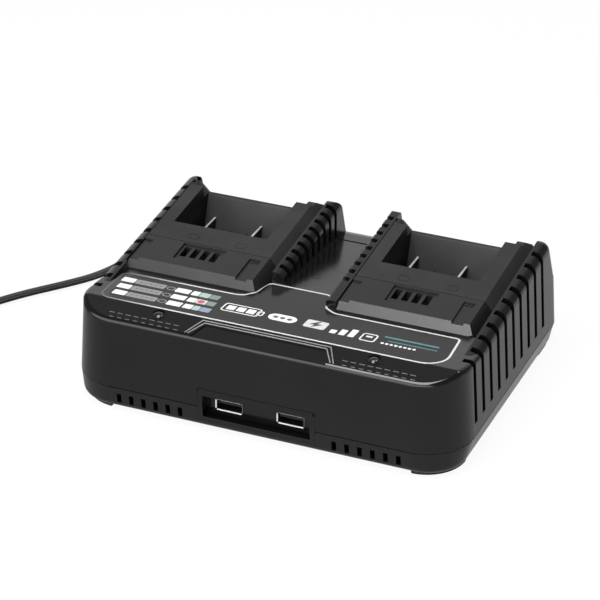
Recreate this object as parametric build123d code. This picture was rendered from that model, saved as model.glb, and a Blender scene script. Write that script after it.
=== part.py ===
from build123d import *
import math
import os

os.makedirs("parts", exist_ok=True)

# Twin-dock charger for slide-on power tool batteries, with two USB-A outlets in its front.
# Millimetres. X runs along the front from left to right, Y runs back, Z is up.
# The origin is the centre of the housing's footprint, on the surface that the feet rest on.

# ---------------------------------------------------------------- driving dimensions
width = 187.0                # housing at its parting line
depth = 142.8
corner_r_front = 22.0
corner_r_rear = 12.0
wall = 2.4
parting_z = 13.0
upper_draft = 3.5            # degrees, the upper housing leans in
tray_low_z = 1.9             # underside of the tray
tray_side_inset = 2.4        # there the tray is narrower than the parting line, at the sides
tray_front_inset = 1.4       # and at the front and rear
tray_corner_r = 17.0
tray_edge_r = 3.2
tray_floor_z = tray_low_z + 2.2
block_high_z = 62.0          # a working height above everything

front_edge_y = -69.4         # top edge of the front face
front_edge_z = 46.0
top_front_y = -56.6          # the sloping front strip ends and the top begins
top_front_z = 49.26
top_slope = -0.09            # the top falls to the rear
top_rear_y = 62.0
top_edge_r = 2.6             # rounding of the top's outer edge
dock_slope = 0.091           # the docks rise to the rear
dock_ref_y = 17.7
dock_ref_z = 53.2

dock_pitch = 103.6
dock_half = 39.2             # half of a dock, over its fences
outer_fence_w = 6.0          # fences on the housing's own sides
left_fence_w = 4.9           # right dock's fence beside the valley
right_fence_w = 6.2          # left dock's fence beside the valley
fence_r = 4.8                # rounding of the fences' shoulders and rear ends
slim_fence_r = 1.2           # of the right dock's fence beside the valley
fence_rear_y = 58.3          # the fences turn down here
fence_foot_y = 65.0
fence_foot_z = 36.0
insert_x0 = -33.9            # dock insert, from the dock's centre
insert_x1 = 32.4
shoulder = 5.0               # slope along the insert's right edge
insert_rear_y = 57.6
insert_floor_z = 27.0
left_cheek_y = 48.5          # behind this the left cheek slopes into the well
right_cheek_y = 50.0         # and the right one has a lower shoulder
split_y = 1.1                # joint between the insert and its front apron
split_gap = 0.4
apron_top_y = -18.3
apron_foot_y = -22.2

well_x0 = -27.4              # terminal well
well_x1 = 19.8
well_front_y = 15.4
well_floor_z = 29.5
rear_wall_y = 54.2           # top edge of the well's leaning rear wall
rear_wall_z = 50.7
rear_wall_lean = 18.0        # degrees from upright
rear_fall = 0.62             # the top falls this steeply behind the wells

side_slot_w = 3.5
side_slot_pitch = 10.1
side_slot_first_y = -46.0
side_slot_count = 10
side_slot_low_z = 18.7
valley_slot_w = 3.0
valley_slot_pitch = 6.8
valley_slot_first_y = -3.0
valley_slot_count = 9
tray_slot_w = 2.2
tray_slot_pitch = 6.0
tray_slot_first_x = 36.8
tray_slot_count = 6
tray_slot_low_z = 4.8
tray_slot_high_z = 9.6

bezel_half_w = 27.9          # flush panel in the front that holds the two sockets
bezel_low_z = 6.0
bezel_high_z = 21.6
bezel_gap = 0.1
usb_half_w = 25.6            # recess in the panel
usb_low_z = 7.6
usb_high_z = 18.3
usb_depth = 5.3
usb_pitch = 29.4
usb_z = 12.95
usb_shell_w = 13.1
usb_shell_h = 5.7
usb_shell_l = 13.5
usb_shell_t = 0.35

blade_x = (-22.5, 1.5)       # battery contacts, from the dock's centre
blade_t = 1.0
blade_top_z = 39.4
blade_low_z = 31.5
blade_front_y = 31.0
sense_x = (-13.8, -5.7)      # lower contacts for the battery's temperature and cell signals
sense_top_z = 34.5

label_t = 0.5                # printed overlay in the top
label_gap = 0.12
fascia_t = 1.2               # glossy strip along the front
lens_x = 51.0
lens_y = -60.4
lens_r = 2.7

board_z = 8.5                # underside of both circuit boards
board_t = 1.6
board_top_z = board_z + board_t

cord_w = 5.0                 # mains lead
exit_x = -62.0
exit_z = 8.8
exit_hole_r = 3.5
relief_l = 26.0

skirt_t = 1.6                # wall round each dock opening, with a ledge that carries the insert
ledge_w = 1.8
case_screw_places = [(-74.0, -52.0), (74.0, -52.0), (-48.0, 63.0), (48.0, 63.0)]
board_screw_places = [(-72.0, -38.0), (72.0, -38.0), (-72.0, 52.0), (72.0, 52.0)]
usb_screw_places = [(-23.0, -49.0), (23.0, -49.0)]
indicator_post_places = [(-36.0, -58.5), (36.0, -58.5)]
indicator_board_z = 37.6

dock_centres = {"left": -dock_pitch / 2, "right": dock_pitch / 2}
nodes = {}


# ---------------------------------------------------------------- helpers
def top_z(y):
    """Height of the top between the docks."""
    return top_front_z + top_slope * (y - top_front_y)


def dock_z(y):
    """Height of the docks' top plane."""
    return dock_ref_z + dock_slope * (y - dock_ref_y)


def strip_z(y):
    """Height of the sloping strip along the front."""
    slope = (top_front_z - front_edge_z) / (top_front_y - front_edge_y)
    return front_edge_z + slope * (y - front_edge_y)


def rear_wall_y_at(z):
    return rear_wall_y - (rear_wall_z - z) * math.tan(math.radians(rear_wall_lean))


def sheet(corners):
    """A flat face from corners given as (a, b) or (a, b, radius)."""
    places = [corner[:2] for corner in corners]
    radii = [corner[2] if len(corner) == 3 else 0 for corner in corners]
    return make_face(FilletPolyline(*places, radius=radii, close=True))


def side_prism(corners, x0, x1):
    """A (Y, Z) outline pulled along X."""
    return extrude(Plane.YZ.offset(x0) * sheet(corners), amount=x1 - x0)


def front_prism(corners, y0, y1):
    """An (X, Z) outline pulled along Y."""
    return extrude(Plane.XZ.offset(-y1) * sheet(corners), amount=y1 - y0)


def box(x0, x1, y0, y1, z0, z1):
    return Pos((x0 + x1) / 2, (y0 + y1) / 2, (z0 + z1) / 2) * Box(x1 - x0, y1 - y0, z1 - z0)


def post(radius, x, y, z0, z1):
    """A cylinder along Z."""
    return Pos(x, y, (z0 + z1) / 2) * Cylinder(radius, z1 - z0)


def bar_y(radius, x, y0, y1, z):
    """A cylinder along Y."""
    return Pos(x, (y0 + y1) / 2, z) * Rot(90, 0, 0) * Cylinder(radius, y1 - y0)


def rounded_plan(side_inset, front_inset, front_r, rear_r):
    """The housing seen from above, with its own corner roundings."""
    face = Rectangle(width - 2 * side_inset, depth - 2 * front_inset)
    face = fillet(face.vertices().group_by(Axis.Y)[0], front_r)
    return fillet(face.vertices().group_by(Axis.Y)[-1], rear_r)


def plan(inset):
    """The housing at its parting line seen from above, brought in all round."""
    return rounded_plan(inset, inset, corner_r_front - inset, max(corner_r_rear - inset, 1.0))


def leaning_block(inset, z0, z1, draft):
    """The plan pulled from z0 to z1. It leans in by draft degrees away from the parting line."""
    lean = math.tan(math.radians(draft))
    low = Pos(0, 0, z0) * plan(inset + abs(z0 - parting_z) * lean)
    high = Pos(0, 0, z1) * plan(inset + abs(z1 - parting_z) * lean)
    return loft([low, high], ruled=True)


def tray_form(thick, z0, z1):
    """The tray's outer form without thickness, or its hollow with the wall's."""
    faces = []
    for z in (z0, z1):
        part = (parting_z - z) / (parting_z - tray_low_z)
        front_r = corner_r_front + (tray_corner_r - corner_r_front) * part - thick
        face = rounded_plan(thick + tray_side_inset * part, thick + tray_front_inset * part,
                            front_r, corner_r_rear - part - thick)
        faces.append(Pos(0, 0, z) * face)
    return loft(faces, ruled=True)


def row(first, pitch, count):
    return [first + pitch * step for step in range(count)]


# ---------------------------------------------------------------- outlines of the top, as (Y, Z)
beyond = 90.0                # outside the housing on every side
deck_corners = [
    (-beyond, 0),
    (-beyond, strip_z(-beyond)),
    (top_front_y, top_front_z, 3.0),
    (top_rear_y, top_z(top_rear_y), 9.0),
    (69.6, 35.0, 4.0),
    (72.5, 20.0),
    (beyond, 0),
]


def fence_corners(front_y):
    """A fence follows the docks' plane and turns down steeply behind them."""
    return [
        (front_y, 20),
        (front_y, dock_z(front_y)),
        (fence_rear_y, dock_z(fence_rear_y)),
        (fence_foot_y, fence_foot_z),
        (fence_foot_y + 4.0, 20),
    ]


def rear_z(y):
    """Height of the band that falls to the rear behind a well."""
    return rear_wall_z - rear_fall * (y - rear_wall_y)


rear_band_corners = [
    (insert_rear_y + 0.3, 20),
    (insert_rear_y + 0.3, rear_z(insert_rear_y + 0.3) - 0.3),
    (66.0, rear_z(66.0) - 0.3, 4.0),
    (70.5, 33.0),
    (beyond, 20),
]


# ---------------------------------------------------------------- overlay and fascia outlines
label_corners = [
    (-79.6, -56.4, 7.0),
    (79.6, -56.4, 7.0),
    (78.8, -26.9, 3.0),
    (19.0, -27.0, 6.0),
    (12.2, -21.0, 5.0),
    (10.4, -9.5, 3.5),
    (-18.2, -9.6, 5.0),
    (-18.6, -21.8, 4.0),
    (-24.5, -28.0, 6.0),
    (-78.8, -28.0, 3.0),
]
label_ref_y = -27.0
label_plane = Plane(
    origin=(0, label_ref_y, top_z(label_ref_y)),
    x_dir=(1, 0, 0),
    z_dir=(0, -top_slope, 1),
)


def label_block(grow):
    """The overlay's outline, grown and pulled down from the top."""
    stretch = math.sqrt(1 + top_slope ** 2)
    places = [(x, (y - label_ref_y) * stretch, r) for x, y, r in label_corners]
    face = label_plane * sheet(places)
    if grow:
        face = offset(face, amount=grow)
    return extrude(face, amount=label_t, dir=-label_plane.z_dir)


fascia_back_y = top_front_y - 0.2
fascia_corners = [
    (fascia_back_y, strip_z(fascia_back_y)),
    (fascia_back_y, strip_z(fascia_back_y) - fascia_t),
    (-beyond, strip_z(-beyond) - fascia_t),
    (-beyond, strip_z(-beyond)),
]


# ---------------------------------------------------------------- upper housing
def side_slots():
    """Upright slots that open both side walls and wrap over the outer fences."""
    cut = []
    inner_x = width / 2 - 7.4
    for y in row(side_slot_first_y, side_slot_pitch, side_slot_count):
        for sign in (-1, 1):
            x0, x1 = sorted((sign * inner_x, sign * 100))
            slot = box(x0, x1, y - side_slot_w / 2, y + side_slot_w / 2, side_slot_low_z, 80)
            cut.append(slot)
    return cut


def valley_slots():
    """Slots across the two fences that face the valley."""
    left_dock_x = dock_centres["left"] + dock_half
    right_dock_x = dock_centres["right"] - dock_half
    cut = []
    for y in row(valley_slot_first_y, valley_slot_pitch, valley_slot_count):
        y0 = y - valley_slot_w / 2
        y1 = y + valley_slot_w / 2
        low = top_z(y) + 1.2
        cut.append(box(left_dock_x - right_fence_w + 1.2, left_dock_x + 5, y0, y1, low, 80))
        cut.append(box(right_dock_x - 5, right_dock_x + left_fence_w - 1.2, y0, y1, low, 80))
    return cut


def opening(centre, grow, z0, z1):
    """The hole for a dock's insert and apron."""
    return box(centre + insert_x0 - 0.3 - grow, centre + insert_x1 + 0.3 + grow,
               apron_foot_y - 0.2 - grow, insert_rear_y + 0.3 + grow, z0, z1)


def dock_skirt(centre):
    """Walls that hang down round a dock's opening."""
    low = insert_floor_z - 2.0
    return opening(centre, skirt_t, low, 70) - opening(centre, -ledge_w - 1, 0, 80)


shell = leaning_block(0, parting_z, block_high_z, upper_draft)
deck = side_prism(deck_corners, -100, 100)


def top_form():
    """The upper housing's outer form without the fences, with its upper outer edge rounded."""
    body = shell & deck
    rim = [edge for edge in body.edges() if (edge @ 0.5).Z > 44.0 and on_wall(edge)]
    return fillet(rim, top_edge_r)


def on_wall(edge):
    """Whether an edge of the top runs along the outer wall."""
    middle = edge @ 0.5
    return abs(middle.X) > width / 2 - 14.0 or middle.Y < front_edge_y + 6.0


def fence(inner_x, outer_x, front_y, radius):
    """A fence beside a dock. Its outer shoulder and its rear end are rounded."""
    body = shell & side_prism(fence_corners(front_y), min(inner_x, outer_x), max(inner_x, outer_x))
    rim = []
    for edge in body.edges():
        middle = edge @ 0.5
        rise = abs((edge @ 1).Z - (edge @ 0).Z)
        upright = edge.geom_type == GeomType.LINE and rise > 0.9 * edge.length
        if abs(middle.X - inner_x) > 1.0 and middle.Z > 30.0 and middle.Y > front_y + 0.1 and not upright:
            rim.append(edge)
    return fillet(rim, radius)


def bezel_place():
    """The cut-out in the front for the socket panel."""
    half = bezel_half_w + bezel_gap
    return box(-half, half, -80, -60, bezel_low_z - bezel_gap, bezel_high_z + bezel_gap)


def upper_housing():
    cavity = leaning_block(wall, parting_z - 1, block_high_z, upper_draft)
    body = top_form()
    outer_x = dock_pitch / 2 + dock_half
    valley_x = dock_pitch / 2 - dock_half
    body += fence(-outer_x + outer_fence_w, -100, -44.0, fence_r)
    body += fence(outer_x - outer_fence_w, 100, -44.0, fence_r)
    body += fence(-valley_x - right_fence_w, -valley_x, -9.0, fence_r)
    body += fence(valley_x + left_fence_w, valley_x, -21.5, slim_fence_r)
    for centre in dock_centres.values():
        rear_band = side_prism(rear_band_corners, centre + insert_x0 - 1.0, centre + insert_x1 + 1.0)
        body += shell & rear_band
    body -= cavity & (Pos(0, 0, -wall) * deck)
    body -= leaning_block(wall, parting_z - 1, 30.0, upper_draft)
    for centre in dock_centres.values():
        body += dock_skirt(centre) & (Pos(0, 0, -0.5) * deck)
        body -= opening(centre, 0, insert_floor_z, 80)
        body -= opening(centre, -ledge_w, 16, 80)
    body -= side_slots() + valley_slots()
    for x, y in case_screw_places:
        body += post(3.4, x, y, board_top_z + 0.2, 46.4 if y < 0 else 37.0)
        body -= post(1.25, x, y, board_z, 30)
    for x, y in indicator_post_places:
        body += post(2.0, x, y, indicator_board_z + board_t, 46.0)
        body += post(0.9, x, y, indicator_board_z - 0.8, 46.0)
    body -= label_block(label_gap)
    body -= side_prism(fascia_corners, -100, 100)
    body -= bezel_place()
    for x in (-lens_x, lens_x):
        body -= post(lens_r + 0.1, x, lens_y, 30, 60)
    return body


# ---------------------------------------------------------------- feet and screws
foot_reach = 18.5
foot_inset = 3.2
foot_w = 9.0
foot_edge_r = 1.2
foot_sunk = 0.7              # depth of the seat in the tray


def corner_foot(sign_x, sign_y):
    """Rubber pad that follows a lower corner of the tray, rounded towards the floor."""
    high = tray_low_z + foot_sunk
    plate = extrude(plan(foot_inset) - plan(foot_inset + foot_w), amount=high)
    x0, x1 = sorted((sign_x * (width / 2 - foot_inset - foot_reach), sign_x * width))
    y0, y1 = sorted((sign_y * (depth / 2 - foot_inset - foot_reach), sign_y * depth))
    pad = plate & box(x0, x1, y0, y1, -1, 10)
    return fillet(pad.edges().group_by(Axis.Z)[0], foot_edge_r)


def case_screw(x, y):
    """Pan-head screw sunk in a boss from below."""
    head = post(2.8, x, y, tray_low_z + 0.3, tray_low_z + 1.4)
    head -= box(x - 1.9, x + 1.9, y - 0.4, y + 0.4, 0, tray_low_z + 0.9)
    head -= box(x - 0.4, x + 0.4, y - 1.9, y + 1.9, 0, tray_low_z + 0.9)
    return head + post(1.2, x, y, tray_low_z + 1.4, 24.0)


def board_screw(x, y):
    """Small screw with its head on the board."""
    head = post(2.1, x, y, board_top_z, board_top_z + 1.2)
    head -= box(x - 1.4, x + 1.4, y - 0.3, y + 0.3, board_top_z + 0.6, 30)
    head -= box(x - 0.3, x + 0.3, y - 1.4, y + 1.4, board_top_z + 0.6, 30)
    return head + post(0.9, x, y, board_z - 3.5, board_top_z)


# ---------------------------------------------------------------- lower tray
def tray_slots():
    cut = []
    for x in row(tray_slot_first_x, tray_slot_pitch, tray_slot_count):
        for sign in (-1, 1):
            middle = sign * x
            cut.append(box(middle - tray_slot_w / 2, middle + tray_slot_w / 2, -80, -60,
                           tray_slot_low_z, tray_slot_high_z))
    return cut


def lower_tray():
    body = tray_form(0, tray_low_z, parting_z - 0.15)
    body = fillet(body.edges().group_by(Axis.Z)[0], tray_edge_r)
    body -= tray_form(wall, tray_floor_z, parting_z + 1)
    for x, y in board_screw_places + usb_screw_places:
        body += post(2.8, x, y, tray_floor_z - 0.2, board_z)
        body -= post(0.9, x, y, tray_floor_z, board_z + 1)
    for x, y in case_screw_places:
        body += post(3.6, x, y, tray_floor_z - 0.2, board_top_z)
        body -= post(1.6, x, y, 0, board_top_z + 1)
        body -= post(3.0, x, y, 0, tray_low_z + 1.4)
    body -= tray_slots()
    body -= bezel_place()
    body -= bar_y(exit_hole_r, exit_x, 60, 80, exit_z)
    for sign_x in (-1, 1):
        for sign_y in (-1, 1):
            body -= corner_foot(sign_x, sign_y)
    return body


# ---------------------------------------------------------------- docks
def dock_body(x0, y0, y1, low_z):
    """A dock's outer form between two Y places, with the slope along its right edge."""
    x1 = x0 + insert_x1 - insert_x0
    body = side_prism([(y0, low_z), (y0, dock_z(y0)), (y1, dock_z(y1)), (y1, low_z)], x0, x1)
    high = dock_z(y1) + 20
    drop = shoulder + 1.0
    edge = front_prism([(x1 - shoulder, high), (x1 - shoulder, 0), (x1, -drop), (x1 + 1, -drop), (x1 + 1, high)],
                       y0 - 20, y1 + 20)
    tilt = math.degrees(math.atan(dock_slope))
    edge = Pos(0, dock_ref_y, dock_ref_z) * Rot(tilt, 0, 0) * Pos(0, -dock_ref_y, 0) * edge
    return body - edge


def falling_cut(corners, front_y):
    """An (X, Z) outline pulled back from front_y. Behind the well's top edge it falls."""
    body = front_prism(corners, front_y, rear_wall_y)
    face = Plane.XZ.offset(-rear_wall_y) * sheet(corners)
    return body + extrude(face, amount=20.0, dir=(0, 1, -rear_fall))


def dock_insert(centre):
    """Rear part of a dock: cheeks, terminal well and the leaning wall behind it."""
    x0 = centre + insert_x0
    x1 = centre + insert_x1
    y0 = split_y + split_gap / 2
    well0 = centre + well_x0
    well1 = centre + well_x1
    body = dock_body(x0, y0, insert_rear_y, insert_floor_z)
    crest_z = 55.4
    shoulder_z = 53.4
    body -= falling_cut([(x0 - 1, crest_z), (x0 - 1, 80), (x1 + 1, 80), (x1 + 1, crest_z)], right_cheek_y)
    body -= falling_cut([(well1 - 0.1, shoulder_z), (well1 - 0.1, 80), (well1 + 4.5, 80), (well1 + 4.5, shoulder_z)],
                        right_cheek_y)
    body -= falling_cut([(x0 - 0.5, 57.1), (x0 - 0.5, 80), (well0 + 0.3, 80), (well0 + 0.3, rear_wall_z - 1.0)],
                        left_cheek_y)
    well = [
        (well_front_y, 90, 0),
        (well_front_y, well_floor_z, 1.5),
        (rear_wall_y_at(well_floor_z), well_floor_z, 3.0),
        (rear_wall_y, rear_wall_z, 1.6),
        (80, rear_z(80)),
        (80, 90),
    ]
    body -= side_prism(well, well0, well1)
    front_hollow = [(y0 + 2, insert_floor_z - 1), (y0 + 2, dock_z(y0 + 2) - wall),
                    (well_front_y - wall, dock_z(well_front_y - wall) - wall),
                    (well_front_y - wall, insert_floor_z - 1)]
    body -= side_prism(front_hollow, x0 + 2, x1 - shoulder - 2)
    back = rear_wall_y_at(well_floor_z) + wall
    high = 44.6
    rear_hollow = [(back, insert_floor_z - 1), (back, well_floor_z), (rear_wall_y_at(high) + wall, high),
                   (insert_rear_y + 1, high), (insert_rear_y + 1, insert_floor_z - 1)]
    body -= side_prism(rear_hollow, well0, well1)
    body -= box(well1 + 2, x1 - 2, well_front_y - 6, insert_rear_y - 3, insert_floor_z - 1, 43)
    for x in blade_x:
        body -= blade_slot(centre + x, blade_low_z, blade_top_z)
    for x in sense_x:
        body -= blade_slot(centre + x, blade_low_z - 0.6, sense_top_z)
    return body


def blade_slot(x, low, high):
    """The close slot that a contact comes through."""
    half = blade_t / 2 + 0.05
    return box(x - half, x + half, 40, 56, low - 0.05, high + 0.05)


vent_x = row(-11.7, 4.85, 4)     # slots in the apron, from the dock's centre
vent_w = 3.1
vent_y0 = -9.6
vent_y1 = -1.7
vent_panel = (-14.8, 6.6, -13.0, 0.1)        # shallow recess round them, as X and Y limits
side_panels = [(-40.0, -29.2, -30.0, -2.2), (19.0, 24.6, -30.0, -2.2)]
panel_deep = 0.8
corner_r = 5.0               # between the ramp and the slope on the right


def ramp_corner(x1):
    """What the rounded corner between the ramp and the slope on the right leaves out."""
    x = x1 - corner_r
    y = apron_foot_y + corner_r
    low = top_z(y) - 0.1
    return box(x, x1 + 1, apron_foot_y - 1, y, low, 80) - post(corner_r, x, y, low - 1, 81)


def dock_apron(centre):
    """Front part of a dock: the ramp on which the battery slides in."""
    x0 = centre + insert_x0
    x1 = centre + insert_x1
    y1 = split_y - split_gap / 2
    body = dock_body(x0, apron_foot_y, y1, insert_floor_z)
    ramp = [(apron_foot_y - 10, 80), (apron_foot_y - 10, insert_floor_z - 1), (apron_foot_y, insert_floor_z - 1),
            (apron_foot_y, top_z(apron_foot_y)), (apron_top_y, dock_z(apron_top_y), 1.6), (apron_top_y + 12, 80)]
    body -= side_prism(ramp, x0 - 1, x1 + 1)
    body -= ramp_corner(x1)
    inside = [(apron_top_y + 1, insert_floor_z - 1), (apron_top_y + 1, dock_z(apron_top_y) - wall),
              (y1 - wall, dock_z(y1) - wall), (y1 - wall, insert_floor_z - 1)]
    body -= side_prism(inside, x0 + wall, x1 - shoulder - wall)
    for panel_x0, panel_x1, panel_y0, panel_y1 in [vent_panel] + side_panels:
        floor = [(panel_y0, dock_z(panel_y0) - panel_deep), (panel_y1, dock_z(panel_y1) - panel_deep),
                 (panel_y1, 80), (panel_y0, 80)]
        body -= side_prism(floor, centre + panel_x0, centre + panel_x1)
    for x in vent_x:
        body -= box(centre + x - vent_w / 2, centre + x + vent_w / 2, vent_y0, vent_y1, 30, 80)
    return body


def terminal_block(centre):
    """Moulded holder behind the well's rear wall, with the contacts' slots."""
    high = 44.0
    low = 31.0
    corners = [(rear_wall_y_at(low) + wall, low), (rear_wall_y_at(high) + wall, high),
               (insert_rear_y - 0.6, high), (insert_rear_y - 0.6, low)]
    body = side_prism(corners, centre + blade_x[0] - 3.2, centre + blade_x[1] + 3.2)
    for x in blade_x:
        body -= blade_slot(centre + x, blade_low_z, blade_top_z)
    for x in sense_x:
        body -= blade_slot(centre + x, blade_low_z - 0.6, sense_top_z)
    return body


def contact_blades(centre):
    """Two power blades with softened noses."""
    nose = [(blade_front_y, blade_low_z, 2.0), (blade_front_y, blade_top_z, 1.0), (55.9, blade_top_z),
            (55.9, blade_low_z)]
    return [side_prism(nose, centre + x - blade_t / 2, centre + x + blade_t / 2) for x in blade_x]


def sense_contacts(centre):
    """Two lower blades for the signals."""
    low = blade_low_z - 0.6
    nose = [(blade_front_y + 4, low, 1.2), (blade_front_y + 4, sense_top_z, 0.8), (55.9, sense_top_z),
            (55.9, low)]
    return [side_prism(nose, centre + x - blade_t / 2, centre + x + blade_t / 2) for x in sense_x]


# ---------------------------------------------------------------- overlay, fascia and lenses
step_corners = [(-33.5, front_edge_y - 3), (-28.4, -60.4, 1.5), (28.4, -60.4, 1.5), (33.5, front_edge_y - 3)]


def fascia():
    """Glossy strip along the front, round both front corners, with a shallow step in its middle."""
    body = top_form()
    slab = [(y, z) for y, z in fascia_corners]
    slab[0] = (fascia_back_y - 0.15, strip_z(fascia_back_y - 0.15))
    slab[1] = (fascia_back_y - 0.15, strip_z(fascia_back_y) - fascia_t + 0.05)
    slab[2] = (-beyond, strip_z(-beyond) - fascia_t + 0.05)
    body &= side_prism(slab, -100, 100)
    tilt = math.degrees(math.atan2(top_front_z - front_edge_z, top_front_y - front_edge_y))
    step = extrude(sheet(step_corners), amount=20)
    step = Pos(0, front_edge_y, front_edge_z - 0.5) * Rot(tilt, 0, 0) * Pos(0, -front_edge_y, 0) * step
    body -= step
    for x in (-lens_x, lens_x):
        body -= post(lens_r + 0.1, x, lens_y, 30, 60)
    return body


def lens(x):
    """Domed light pipe over an indicator LED."""
    rim = strip_z(lens_y) - 0.2
    pipe = post(lens_r, x, lens_y, 40.5, rim)
    dome = Pos(x, lens_y, rim - 2.6) * Sphere(3.7)
    dome &= post(lens_r, x, lens_y, rim - 1, 60)
    return pipe + dome


# ---------------------------------------------------------------- USB bay
usb_x = (-usb_pitch / 2, usb_pitch / 2)
usb_face_y = -depth / 2 + usb_depth


def usb_bezel():
    """Panel flush with the front, with a recess whose back carries the two socket openings."""
    body = box(-bezel_half_w, bezel_half_w, -80, usb_face_y + 1.6, bezel_low_z, bezel_high_z)
    body &= shell + tray_form(0, tray_low_z, parting_z)
    body -= box(-usb_half_w, usb_half_w, -80, usb_face_y, usb_low_z, usb_high_z)
    for sign in (-1, 1):
        x0, x1 = sorted((sign * 19.0, sign * bezel_half_w))
        body += box(x0, x1, usb_face_y - 0.6, usb_face_y + 1.6, tray_floor_z, bezel_low_z + 0.2)
    for x in usb_x:
        body -= box(x - usb_shell_w / 2 - 0.1, x + usb_shell_w / 2 + 0.1, -80, -50,
                    usb_z - usb_shell_h / 2 - 0.1, usb_z + usb_shell_h / 2 + 0.1)
    return body


def usb_shell(x):
    """Folded steel shell of a USB-A socket."""
    y0 = usb_face_y - 0.4
    y1 = y0 + usb_shell_l
    outer = box(x - usb_shell_w / 2, x + usb_shell_w / 2, y0, y1, usb_z - usb_shell_h / 2, usb_z + usb_shell_h / 2)
    outer = fillet(outer.edges().filter_by(Axis.Y), 0.6)
    t = usb_shell_t
    inner = box(x - usb_shell_w / 2 + t, x + usb_shell_w / 2 - t, y0 - 1, y1 - t,
                usb_z - usb_shell_h / 2 + t, usb_z + usb_shell_h / 2 - t)
    return outer - inner


def usb_tongue(x):
    """Contact carrier inside the shell, with its four contacts."""
    y0 = usb_face_y + 0.8
    y1 = usb_face_y + usb_shell_l - 0.4 - usb_shell_t
    half = usb_shell_w / 2 - usb_shell_t
    high = usb_z + usb_shell_h / 2 - usb_shell_t
    base = box(x - half, x + half, y1 - 3.0, y1, usb_z - usb_shell_h / 2 + usb_shell_t, high)
    plate = box(x - 5.6, x + 5.6, y0, y1 - 1, high - 2.5, high - 0.7)
    body = base + plate
    for place in (-3.5, -1.0, 1.0, 3.5):
        body += box(x + place - 0.5, x + place + 0.5, y0 + 0.6, y1 - 2, high - 2.65, high - 2.4)
    return body


# ---------------------------------------------------------------- electronics
def board(x0, x1, y0, y1, z0, screw_places):
    body = box(x0, x1, y0, y1, z0, z0 + board_t)
    body = fillet(body.edges().filter_by(Axis.Z), 1.5)
    for x, y in screw_places:
        body -= post(0.95, x, y, 0, 60)
    return body


def transformer_core():
    """E-shaped ferrite halves, seen as one block with two windows."""
    low = board_top_z
    core = box(-13, 13, 4, 36, low, low + 22)
    core -= box(-14, 14, 8.5, 15.5, low + 4.5, low + 17.5)
    return core - box(-14, 14, 24.5, 31.5, low + 4.5, low + 17.5)


def transformer_winding():
    """Taped winding round the core's middle leg."""
    low = board_top_z + 4.7
    winding = box(-12, 12, 8.7, 31.3, low, low + 12.6)
    winding = fillet(winding.edges().filter_by(Axis.Z), 2.0)
    return winding - box(-14, 14, 15.4, 24.6, 0, 60)


def capacitor(radius, height, x, y):
    """Electrolytic can with the pressed ring near its foot."""
    can = post(radius, x, y, board_top_z, board_top_z + height)
    can = fillet(can.edges(), 0.6)
    ring = post(radius + 1, x, y, board_top_z + 1.6, board_top_z + 2.6) - post(radius - 0.4, x, y, 0, 60)
    return can - ring


def heatsink(x0, x1, y0, y1):
    """Extruded plate with upright fins."""
    fin_t = 1.6
    fin_count = 7
    low = board_top_z
    body = box(x0, x1, y0, y1, low, low + 3)
    pitch = (x1 - x0 - fin_t) / (fin_count - 1)
    for left in row(x0, pitch, fin_count):
        body += box(left, left + fin_t, y0, y1, low, low + 14)
    return body


def choke(x, y):
    """Mains filter ring lying on the board."""
    ring = Pos(x, y, board_top_z + 5) * (Cylinder(9.5, 9) - Cylinder(4.2, 10))
    return fillet(ring.edges(), 1.6)


def fuse(x, y):
    """Mains fuse across two clips."""
    tube = Pos(x, y, board_top_z + 4) * Rot(0, 90, 0) * Cylinder(2.6, 20)
    clips = box(x - 10, x - 5, y - 2, y + 2, board_top_z, board_top_z + 4)
    return tube + clips + box(x + 5, x + 10, y - 2, y + 2, board_top_z, board_top_z + 4)


def led(x):
    """Indicator LED under a light pipe."""
    low = indicator_board_z + board_t
    return box(x - 1.6, x + 1.6, lens_y - 1.4, lens_y + 1.4, low, low + 1.1)


# ---------------------------------------------------------------- mains lead
lead_r = cord_w / 2


def cone_y(x, y0, y1, z, r0, r1):
    """A tapered round along Y."""
    return Pos(x, (y0 + y1) / 2, z) * Rot(-90, 0, 0) * Cone(r0, r1, y1 - y0)


def strain_relief():
    """Ribbed, tapered boot that comes out of the tray's rear wall."""
    rear = depth / 2
    body = cone_y(exit_x, rear, rear + relief_l, exit_z, 4.5, 3.3)
    body += bar_y(exit_hole_r - 0.05, exit_x, rear - 4.0, rear + 1.0, exit_z)
    body += bar_y(4.5, exit_x, rear - 5.8, rear - 3.4, exit_z)
    for y in row(rear + 4.0, 4.4, 5):
        body -= bar_y(6.0, exit_x, y, y + 1.2, exit_z) - bar_y(3.0, exit_x, y - 1, y + 3, exit_z)
    return body - bar_y(lead_r, exit_x, rear - 7, rear + relief_l + 1, exit_z)


coil_x = -207.0
coil_y = -41.0
coil_mean_r = 27.5
coil_half_w = 8.0
coil_high = 10.4
lead_z = lead_r + 0.1

lead_route = [
    (exit_x, 75.0, exit_z),
    (exit_x, 101.0, exit_z),
    (-75.0, 123.5, 6.0),
    (-97.0, 130.2, 3.2),
    (-117.7, 120.1, lead_z),
    (-125.9, 98.6, lead_z),
    (-124.0, 76.0, lead_z),
    (-124.5, 56.0, lead_z),
    (-131.5, 36.3, lead_z),
    (-143.0, 21.5, lead_z),
    (-155.5, 7.0, lead_z),
    (-166.5, -9.0, lead_z),
    (-175.5, -25.0, lead_z),
    (-179.3, -42.0, lead_z),
]
plug_x = -246.0
plug_y = -18.0               # where the lead enters the plug
plug_w = 26.0
plug_h = 13.7
plug_l = 35.3
tail_route = [
    (-227.6, -59.0, 7.7),
    (-236.5, -47.0, 7.5),
    (-243.6, -33.0, 7.1),
    (plug_x, plug_y, plug_h / 2),
]


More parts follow.
